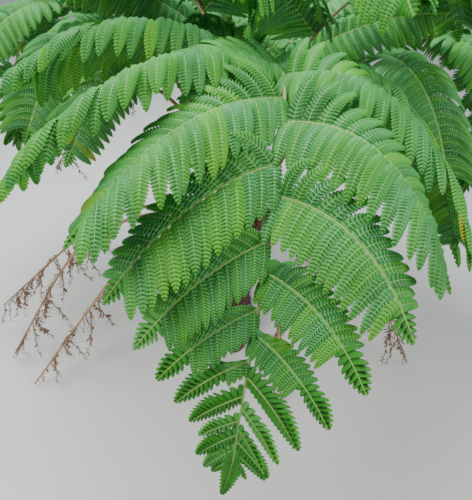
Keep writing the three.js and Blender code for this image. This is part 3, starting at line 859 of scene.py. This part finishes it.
# %% Geometry Nodes helpers
class Growth(NodeWriter):
    """A Geometry Nodes group with named inputs, which ends in real faces with one finish."""

    def __init__(self, name, inputs):
        super().__init__(bpy.data.node_groups.new(name, "GeometryNodeTree"))
        face = self.tree.interface
        face.new_socket("Geometry", in_out="OUTPUT", socket_type="NodeSocketGeometry")
        for label, kind in {"Geometry": "Geometry", **inputs, "Finish": "Material"}.items():
            face.new_socket(label, in_out="INPUT", socket_type="NodeSocket" + kind)
        self.inputs = self.tree.nodes.new("NodeGroupInput")

    def given(self, label):
        return Wire(self, self.inputs.outputs[label])

    def close(self, geometry):
        real = self.add("GeometryNodeRealizeInstances", inputs={0: geometry})
        inputs = {"Geometry": real, "Material": self.given("Finish")}
        painted = self.add("GeometryNodeSetMaterial", inputs=inputs)
        self.add("NodeGroupOutput", inputs={"Geometry": painted})

    def grow(self, name, carrier, values):
        """Runs the group on a carrier and keeps the result as a plain mesh."""
        modifier = carrier.modifiers.new("growth", "NODES")
        modifier.node_group = self.tree
        for item in self.tree.interface.items_tree:
            if item.in_out == "INPUT" and item.name in values:
                modifier[item.identifier] = values[item.name]
        evaluated = carrier.evaluated_get(bpy.context.evaluated_depsgraph_get())
        mesh = bpy.data.meshes.new_from_object(evaluated)
        carrier.modifiers.remove(modifier)
        return shown(name, mesh)

    def grow_on_lines(self, name, lines, values):
        """Runs the group on a curve with one line for each row of (points, radii)."""
        curve = bpy.data.curves.new(name, "CURVE")
        curve.dimensions = "3D"
        for points, radii in lines:
            spline = curve.splines.new("POLY")
            spline.points.add(len(points) - 1)
            spline.points.foreach_set("co", np.hstack([points, np.ones((len(points), 1))]).ravel())
            spline.points.foreach_set("radius", radii)
        carrier = shown(name + "_lines", curve)
        made = self.grow(name, carrier, values)
        bpy.data.objects.remove(carrier)
        return made


rib_sweep = Growth("rib_sweep", {"Sides": "Int"})
ring = rib_sweep.add("GeometryNodeCurvePrimitiveCircle", inputs={
    "Resolution": rib_sweep.given("Sides"), "Radius": 1.0,
})
rib_sweep.close(rib_sweep.add("GeometryNodeCurveToMesh", inputs={
    "Curve": rib_sweep.given("Geometry"), "Profile Curve": ring,
    "Scale": rib_sweep.add("GeometryNodeInputRadius"), "Fill Caps": True,
}))

# %% Costae
COSTA_RADIUS, COSTA_LENGTH, COSTA_TIP, COSTA_TAPER = 0.0021, 0.6, 0.0006, 0.8
for number in range(1, len(FRONDS) + 1):
    lines = []
    for pinna in [p for p in pinnae if p.frond == number]:
        v = np.linspace(0, pinna.reach, 19)
        foot = COSTA_RADIUS * math.sqrt(pinna.length * pinna.reach / COSTA_LENGTH)
        radii = COSTA_TIP + (foot - COSTA_TIP) * (1 - v / pinna.reach) ** COSTA_TAPER
        lines.append((between(pinna.points, v), radii))
    values = {"Sides": 8, "Finish": rib_finish}
    belongs(rib_sweep.grow_on_lines(f"frond_{number}_costae", lines, values), "green_stalk")
print("costae of", len(pinnae), "pinnae")

# %% [markdown]
# ## Stalks
# The stalk of a frond is brown and chaffy at its foot, olive where the pinnae begin and yellow-green
# at the tip, with a shallow groove along its upper side. One tapering sweep does all of it, and an
# attribute that runs from 0 at the foot to 1 at the tip tells the finish where it is.

# %% Stalk finish
frond_stalk = Finish("frond_stalk")
streaks, specks = frond_stalk.noise(3.0, 4.0, (55.0, 55.0, 9.0)), frond_stalk.noise(380.0, 3.0)
where = frond_stalk.along() + (streaks - 0.5) * 0.12
foot, tip = frond_stalk.smooth(where, 0.0, 0.26), frond_stalk.smooth(where, 0.30, 1.0)
brown = frond_stalk.mixed(specks, (0.050, 0.028, 0.014), (0.130, 0.085, 0.040))
olive = frond_stalk.mixed(streaks, (0.150, 0.140, 0.050), (0.300, 0.245, 0.105))
green = frond_stalk.mixed(specks, (0.170, 0.290, 0.060), (0.230, 0.330, 0.080))
tone = frond_stalk.mixed(tip, frond_stalk.mixed(foot, brown, olive), green)
relief = frond_stalk.bump(streaks * 0.4 + specks * 0.6, 0.35, 0.0012)
body = frond_stalk.body(tone, 0.62 - tip * 0.18 + specks * 0.12, Normal=relief)
stalk_material = frond_stalk.close(body)

# %% Stipes and rachises
STALK_RADII, STALK_TAPER, STALK_END = (0.0105, 0.005, 0.0012), 0.6, 1.03
STALK_SIDES, STALK_GROOVE = 14, 0.16
BLADE_START = place_along(FIRST_PLACE) - 0.02


def stalk_radius(m):
    """Thick at the foot, thinner where the blade starts and thin as a rush at the tip."""
    stipe = np.minimum(1, m / BLADE_START) ** STALK_TAPER
    blade = np.clip((m - BLADE_START) / (STALK_END - BLADE_START), 0, 1)
    foot, start, tip = STALK_RADII
    return np.where(m < BLADE_START, foot + (start - foot) * stipe, start + (tip - start) * blade)


for number, line in enumerate(frond_lines, 1):
    m = np.linspace(0, STALK_END, 111)
    point, _, across, above = line.frame_at(m)
    points, triangles = tube(point, across, above, stalk_radius(m), STALK_SIDES, STALK_GROOVE)
    stalk = piece(f"frond_{number}_stalk", points, triangles, [stalk_material])
    run_along(stalk, [*np.repeat(m, STALK_SIDES), 0, STALK_END])
    belongs(stalk, "green_stalk", f"frond_{number}_stipe")
print("stalks made,", len(stalk.data.polygons), "triangles each")

# %% [markdown]
# ## The tip of a frond
# Past its last pinnae a frond runs out in short lobed blades that stand closer and lean further
# forward, and then in one toothed blade along the rachis itself. The whole tip is turned a little
# about the rachis, and its last blade lifts and hooks aside.

# %% Frond tips
# place, length and angle from the rachis, to both sides in turn
TIP_ROWS = ((10.58, 0.113, 44), (11.03, 0.108, 43.5), (11.81, 0.100, 38), (12.29, 0.084, 55),
            (13.1, 0.078, 34), (14.4, 0.052, 37))
TIP_WIDTH, TIP_ROLL, TIP_FORWARD, TIP_RIB = 0.225, math.radians(18), 0.3, 0.04
TIP_BLADE, TIP_HOOK, TIP_RISE = (0.974, 1.056, 0.028), 0.009, 0.020
along_tip = np.linspace(0, 1, BEND_STEPS + 1)[:, None]


def rolled_frame(line, place):
    """The frond's frame there, turned about the rachis."""
    point, way, across, above = line.frame_at(place)
    out = across * line.hand
    level = out * math.cos(TIP_ROLL) + above * math.sin(TIP_ROLL)
    return point, way, level, above * math.cos(TIP_ROLL) - out * math.sin(TIP_ROLL)


for number, line in enumerate(frond_lines, 1):
    kept = Gathered(), Gathered(), np.random.default_rng(9000 + number)
    for i, (place, long, angle) in enumerate(TIP_ROWS):
        point, way, level, above = rolled_frame(line, place_along(place))
        out = level * (1 if i % 2 == 0 else -1)
        angle, long = math.radians(angle), long * line.size
        ways = unit(way * math.cos(angle) + out * math.sin(angle) + TIP_FORWARD * way * along_tip)
        side = unit(way - ways * (ways @ way)[:, None])
        turn = np.sign(np.cross(ways[0], side[0]) @ above)
        lone_blade(walk(point, long, ways), side, np.cross(ways, side) * turn, long, long * TIP_WIDTH,
                   turn, seated(way, side[:1]), CRENATE, PINNULE_RIB, *kept)
    start, end, half = TIP_BLADE
    point, way, level, above = rolled_frame(line, start + (end - start) * along_tip[:, 0])
    point = point + (level * TIP_HOOK + above * TIP_RISE) * line.size * along_tip**2
    turn = np.sign(np.cross(way[0], level[0]) @ above[0])
    lone_blade(point, level, above, (end - start) * line.length, half * line.size, turn,
               np.zeros((1, 3)), TORN, TIP_RIB, *kept)
    settle(f"frond_{number}_tip", *kept[:2])

# %% [markdown]
# ## The trunk
# A tree fern has no real bark. Its trunk is a mat of dark aerial roots, with the stubs of shed fronds
# standing out in a spiral. Stubs and roots are both built into the mesh, so that they show in outline
# as well, and the ring of corners at each height is pushed out by their relief.

# %% Trunk mesh
TRUNK_PROFILE = np.array([
    (0, 118), (22, 101), (62, 88), (130, 77), (240, 69), (370, 66),
    (470, 70), (540, 78), (582, 76), (608, 58), (622, 30),
]) / 1000
FLARE_RIBS, FLARE_DEPTH, FLARE_FADE = 5, 0.09, 8
LEAN, LEAN_AZIMUTH, CROWN, SET_BACK = math.radians(2.2), -118, 0.604, 0.004
TRUNK_COLUMNS, TRUNK_ROWS = 220, 240
STUBS, GOLDEN_ANGLE, STUB_SIZE = 64, math.radians(137.5), (0.017, 0.026, 0.011)
STUB_FIRST, STUB_RISE = 0.09, 0.0076
ROOT_WAVES, ROOT_HEIGHT = 22, 0.0016


def trunk_reach(height, angle):
    radius = np.interp(height, TRUNK_PROFILE[:, 0], TRUNK_PROFILE[:, 1])
    fade = np.maximum(0, 1 - height / CROWN) ** FLARE_FADE
    return radius * (1 + FLARE_DEPTH * np.cos(FLARE_RIBS * angle) * fade)


def stub_relief(height, angle):
    """How far the old stalk bases stand out: each swells upwards and ends in a ledge."""
    relief = np.zeros(np.broadcast_shapes(height.shape, angle.shape))
    width, tall, out = STUB_SIZE
    for i in range(STUBS):
        aside = (angle - GOLDEN_ANGLE * i + math.pi) % (2 * math.pi) - math.pi
        x = aside * trunk_reach(height, angle) / width
        z = (height - (STUB_FIRST + STUB_RISE * i)) / tall
        body = np.clip((z + 1) / 1.6, 0, 1) ** 1.5 * (z < 0.6) * np.exp(-(x**4))
        relief = np.maximum(relief, out * body)
    return relief


def root_relief(height, angle, chance):
    """A mat of roots: many thin wavy ridges that run down the trunk."""
    relief = 0
    for _ in range(ROOT_WAVES):
        waves = chance.integers(14, 60)
        wander = chance.uniform(2, 9) * np.sin(chance.uniform(4, 16) * height + chance.uniform(0, 6))
        ridge = np.abs(np.sin(0.5 * waves * angle + wander + chance.uniform(0, 6)))
        relief = relief + chance.uniform(0.3, 1) * (1 - ridge) ** 4
    return relief * ROOT_HEIGHT


height = np.linspace(0, TRUNK_PROFILE[-1, 0], TRUNK_ROWS)[:, None]
angle = (2 * np.pi * np.arange(TRUNK_COLUMNS) / TRUNK_COLUMNS)[None, :]
reach = trunk_reach(height, angle) - SET_BACK + stub_relief(height, angle)
reach = reach + root_relief(height, angle, np.random.default_rng(31))
aside = math.tan(LEAN) * height * (1 - height / CROWN)
middle = (compass(0, LEAN_AZIMUTH) * aside)[:, None] + np.zeros((1, TRUNK_COLUMNS, 1))
middle[..., 2] = height
rings = middle + np.stack([np.cos(angle) * reach, np.sin(angle) * reach, 0 * reach], -1)
corners = np.vstack([rings.reshape(-1, 3), middle[0, :1], middle[-1, :1] + (0, 0, SET_BACK)])
# a tube runs the other way round, so the corners of each triangle change places
triangles = closed(TRUNK_ROWS, TRUNK_COLUMNS)[:, [0, 2, 1]]
trunk = piece("trunk_bark", corners, triangles, [bark_finish])
belongs(trunk, "bark", "trunk")
print("trunk", len(triangles), "triangles")

# %% [markdown]
# ## Fibres and scales
# Root fibres hang from the trunk, and long brown scales like hair cover the crown and the feet of the
# stalks. Both are one thin strand, set many times on a surface: Geometry Nodes scatters points on the
# faces within a band of heights and turns each strand between the surface's own direction and up or
# down, with a seeded toss.

# %% Strands on a surface
# what hangs is no longer than this share of its height above the ground
GROUND_SHARE, BARE_FOOT = 0.8, 0.012


def strand(name, width, thick, sway, sides=3, rings=5):
    """A thin tapering strand one metre long along Z, scaled where it is used."""
    z = np.linspace(0, 1, rings)
    points = np.stack([sway * np.sin(3.1 * z), 0.6 * sway * np.sin(5.3 * z), z], -1)
    across = np.tile([1.0, 0, 0], (rings, 1))
    above = np.tile([0, thick / width, 0.0], (rings, 1))
    return put_by(piece(name, *tube(points, across, above, width * (1.05 - z**1.5), sides), []))


class Scatter(Growth):
    """A group that sets one object on many points, in sizes that stay clear of the ground."""

    def __init__(self, name, inputs):
        sizes = {"Shortest": "Float", "Longest": "Float", "Seed": "Int"}
        super().__init__(name, {"Item": "Object", **inputs, **sizes})
        self.height = self.add("ShaderNodeSeparateXYZ", inputs={
            0: self.add("GeometryNodeInputPosition"),
        }, output="Z")

    def tossed(self, reach):
        """A random vector within the reach to both sides."""
        low = tuple(-x for x in reach)
        inputs = {"Min": low, "Max": reach, "Seed": self.given("Seed")}
        return self.add("FunctionNodeRandomValue", {"data_type": "FLOAT_VECTOR"}, inputs)

    def vector(self, operation, first, second):
        key = "Scale" if operation == "SCALE" else 1
        return self.add("ShaderNodeVectorMath", {"operation": operation}, {0: first, key: second})

    def turned(self, angles):
        return self.add("FunctionNodeEulerToRotation", inputs={0: angles})

    def set_out(self, points, rotation):
        size = self.add("FunctionNodeRandomValue", {"data_type": "FLOAT"}, {
            2: self.given("Shortest"), 3: self.given("Longest"), "Seed": self.given("Seed") + 1,
        }, output=1)
        item = self.add("GeometryNodeObjectInfo", inputs={"Object": self.given("Item")},
                        output="Geometry")
        self.close(self.add("GeometryNodeInstanceOnPoints", inputs={
            "Points": points, "Instance": item, "Rotation": rotation,
            "Scale": size.maths("MINIMUM", size, self.height * GROUND_SHARE),
        }))


scatter = Scatter("scatter_strands", {
    "Density": "Float", "Lowest": "Float", "Highest": "Float", "Upwards": "Float", "Outwards": "Float",
})
level = scatter.height
in_band = scatter.add("ShaderNodeMapRange", {"interpolation_type": "SMOOTHSTEP"}, {
    "Value": level, "From Min": scatter.given("Lowest"), "From Max": scatter.given("Highest"),
})
spread = scatter.add("GeometryNodeDistributePointsOnFaces", inputs={
    "Mesh": scatter.given("Geometry"), "Seed": scatter.given("Seed"),
    "Density": scatter.given("Density") * in_band * level.maths("GREATER_THAN", level, BARE_FOOT),
})
tossed = scatter.tossed((0.4, 0.4, 0.4))
upwards = scatter.add("ShaderNodeCombineXYZ", inputs={"Z": scatter.given("Upwards")})
outwards = scatter.vector("SCALE", spread.other("Normal"), scatter.given("Outwards"))
heading = scatter.vector("ADD", scatter.vector("ADD", upwards, outwards), tossed)
spun = scatter.turned(scatter.vector("SCALE", tossed, 8.0))
scatter.set_out(spread, scatter.add("FunctionNodeAlignRotationToVector", {"axis": "Z"}, {
    "Rotation": spun, "Vector": heading,
}))

fibres = scatter.grow("trunk_fibres", trunk, {
    "Item": strand("root_strand", 0.012, 0.012, 0.05), "Density": 9000.0, "Lowest": 0.6,
    "Highest": 0.2, "Upwards": -1.0, "Outwards": 0.25, "Shortest": 0.03, "Longest": 0.085,
    "Seed": 5, "Finish": bark_finish,
})
belongs(fibres, "bark")
hair = scatter.grow("crown_scales", trunk, {
    "Item": strand("scale_strand", 0.045, 0.008, 0.10, sides=4), "Density": 42000.0, "Lowest": 0.50,
    "Highest": 0.60, "Upwards": 1.0, "Outwards": 0.7, "Shortest": 0.02, "Longest": 0.05,
    "Seed": 6, "Finish": scale_finish,
})
belongs(hair, "bark")
print("fibres", len(fibres.data.polygons), "scales", len(hair.data.polygons), "faces")

# %% [markdown]
# ## Dead stalks
# Old fronds die, lose their leaves and hang below the crown as brown stalks. They follow their own
# solids. Scraps of curled dead leaf still cling to the outer part, hanging straight down.

# %% Dead stalks
# azimuth, length, down, rise, fall, bend
DEAD = [
    (-122, 1.38, 24, 62, -58, 0.84), (-80, 1.0, 34, 15, -46, 0.66), (-71, 1.08, 54, 18, -61, 0.72),
    (-60, 0.96, 76, 8, -53, 0.6), (32, 0.7, 70, 6, -72, 0.5), (82, 0.94, 40, 16, -58, 0.62),
    (128, 0.82, 62, 10, -64, 0.56), (172, 0.98, 46, 20, -60, 0.64), (-146, 0.86, 66, 8, -60, 0.6),
]
DEAD_RADII, DEAD_TAPER, DEAD_ROOT, DEAD_STEPS = (0.0095, 0.003), 0.7, 0.040, 40
DEAD_RINGS, DEAD_SIDES, DEAD_GROOVE, KNOTS, KNOT_SIZE, SCRAPS_FROM = 61, 10, 0.3, 30, 0.1, 0.45

dead_lines = []
for number, (azimuth, length, down, rise, fall, bend) in enumerate(DEAD, 1):
    b = np.clip(np.linspace(0, 1, DEAD_STEPS + 1) / bend, 0, 1)
    ways = compass(rise + (fall - rise) * b * b * (3 - 2 * b), azimuth)
    start = compass(0, azimuth) * DEAD_ROOT
    start[2] = CROWN_HEIGHT - down / 1000
    points = walk(start, length, ways)
    m = np.linspace(0, 1, DEAD_RINGS)
    across = np.tile(np.cross(unit(ways[0] * (1, 1, 0)), DOWN), (DEAD_RINGS, 1))
    above = np.cross(unit(between(ways, m)), across)
    chance = np.random.default_rng(700 + number)
    knots = np.interp(m * KNOTS, np.arange(KNOTS + 1), chance.random(KNOTS + 1) - 0.5)
    radii = DEAD_RADII[0] + (DEAD_RADII[1] - DEAD_RADII[0]) * m**DEAD_TAPER
    radii = radii * (1 + KNOT_SIZE * knots)
    corners, triangles = tube(between(points, m), across, above, radii, DEAD_SIDES, DEAD_GROOVE)
    stalk = piece(f"dead_frond_{number}_stalk", corners, triangles, [dead_finish])
    belongs(stalk, "dead_stalk", f"dead_frond_{number}")
    dead_lines.append((between(points, np.linspace(SCRAPS_FROM, 1, 24)), np.full(24, 1.0)))
print(len(dead_lines), "dead stalks")

# %% Scraps of dead leaf
SCRAP_BITS, BIT_STEPS = 26, 4


def dead_scrap():
    """A hanging dead pinna one metre long: a thin rib with curled, crumpled bits on both sides."""
    chance = np.random.default_rng(77)
    gathered = Gathered()
    z = np.linspace(0, 1, 9)
    rib = np.stack([0.06 * np.sin(3 * z), 0.05 * np.sin(4 * z + 1) - 0.04, -z], -1)
    across, above = np.tile([1.0, 0, 0], (9, 1)), np.tile([0, 1.0, 0], (9, 1))
    corners, triangles = tube(rib, across, above, 0.012 * (1.1 - z), 4)
    gathered.take(corners[None], triangles)
    t, i = np.linspace(0, 1, BIT_STEPS + 1)[:, None], np.arange(BIT_STEPS)
    rows = (i, i + BIT_STEPS + 1), (i + BIT_STEPS + 1, i + 2 * BIT_STEPS + 2)
    faces = [np.stack(row, 1) for a, b in rows for row in ((a, a + 1, b), (a + 1, b + 1, b))]
    for j in range(SCRAP_BITS):
        share = (j + 0.5) / SCRAP_BITS
        turn = (1 if j % 2 else -1) * (1.2 + chance.uniform(-0.5, 0.5))
        out = np.array([math.sin(turn), chance.uniform(-0.6, 0.6), -math.cos(turn) - 0.9])
        long, wide = (0.20 - 0.12 * share) * chance.uniform(0.6, 1.2), chance.uniform(0.014, 0.026)
        curl = np.array([0, 0.08 * chance.uniform(-1, 1), 0])
        middle = between(rib, share) + unit(out) * long * t + curl * t**2
        side = np.array([chance.uniform(-1, 1), chance.uniform(-1, 1), 0.3])
        spread = side * wide * np.sin(np.pi * (0.12 + 0.8 * t)) * (1 + 0.4 * np.sin(9 * t + j))
        fold = np.array([0, 0.5, 0.2]) * wide
        bit = np.concatenate([middle - spread, middle + fold, middle + spread])
        gathered.take(bit[None], np.concatenate(faces))
    return put_by(gathered.piece("dead_scrap", []))


hang = Scatter("hang_scraps", {"Count": "Int"})
on_line = hang.add("GeometryNodeCurveToPoints", {"mode": "COUNT"}, {
    "Curve": hang.given("Geometry"), "Count": hang.given("Count"),
})
hang.set_out(on_line, hang.turned(hang.tossed((0.6, 0.6, 3.14))))
scraps = hang.grow_on_lines("dead_leaf_scraps", dead_lines, {
    "Item": dead_scrap(), "Count": 26, "Shortest": 0.05, "Longest": 0.17, "Seed": 11,
    "Finish": shred_finish,
})
belongs(scraps, "dead_stalk")
print("scraps", len(scraps.data.polygons), "faces")

# %% [markdown]
# ## Floor and light
# The plant stands on a pale plain floor in soft light. A broad, cool light overhead gives the leaves
# their sheen, as open sky does. A warmer one from the front left shapes them, and a weaker one from
# the right fills their shadows.

# %% Floor and lights
FLOOR_HALF, FLOOR_COLOUR, AIMED_AT = 14.0, (0.62, 0.62, 0.60), Vector((0, 0, 0.9))
plain = Finish("pale_floor")
shade = plain.mixed(plain.noise(9.0), FLOOR_COLOUR, tuple(0.96 * part for part in FLOOR_COLOUR))
floor_corners = FLOOR_HALF * np.array([(-1, -1, 0), (1, -1, 0), (1, 1, 0), (-1, 1, 0)])
floor_finish = plain.close(plain.body(shade, 0.9))
floor = piece("floor", floor_corners, [(0, 1, 2), (0, 2, 3)], [floor_finish])

# name, place, width, watts and colour
for name, place, width, watts, colour in (
    ("sky_light", (-0.9, 0.5, 4.2), 3.0, 240, (0.92, 0.97, 1.0)),
    ("key_light", (-2.4, -2.6, 3.4), 1.6, 120, (1.0, 0.98, 0.94)),
    ("fill_light", (2.8, -2.2, 2.4), 1.8, 85, (1.0, 0.97, 0.92)),
):
    lamp = bpy.data.lights.new(name, "AREA")
    lamp.shape, lamp.size, lamp.energy, lamp.color = "DISK", width, watts, colour
    light = shown(name, lamp)
    light.location = place
    light.rotation_euler = (AIMED_AT - Vector(place)).to_track_quat("-Z", "Y").to_euler()

world = bpy.data.worlds.new("studio")
bpy.context.scene.world = world
world.use_nodes = True
sky = NodeWriter(world.node_tree)
glow = sky.add("ShaderNodeBackground", inputs={"Color": (0.80, 0.86, 0.92), "Strength": 0.62})
sky.add("ShaderNodeOutputWorld", inputs={"Surface": glow})
print("floor, lights and sky made")
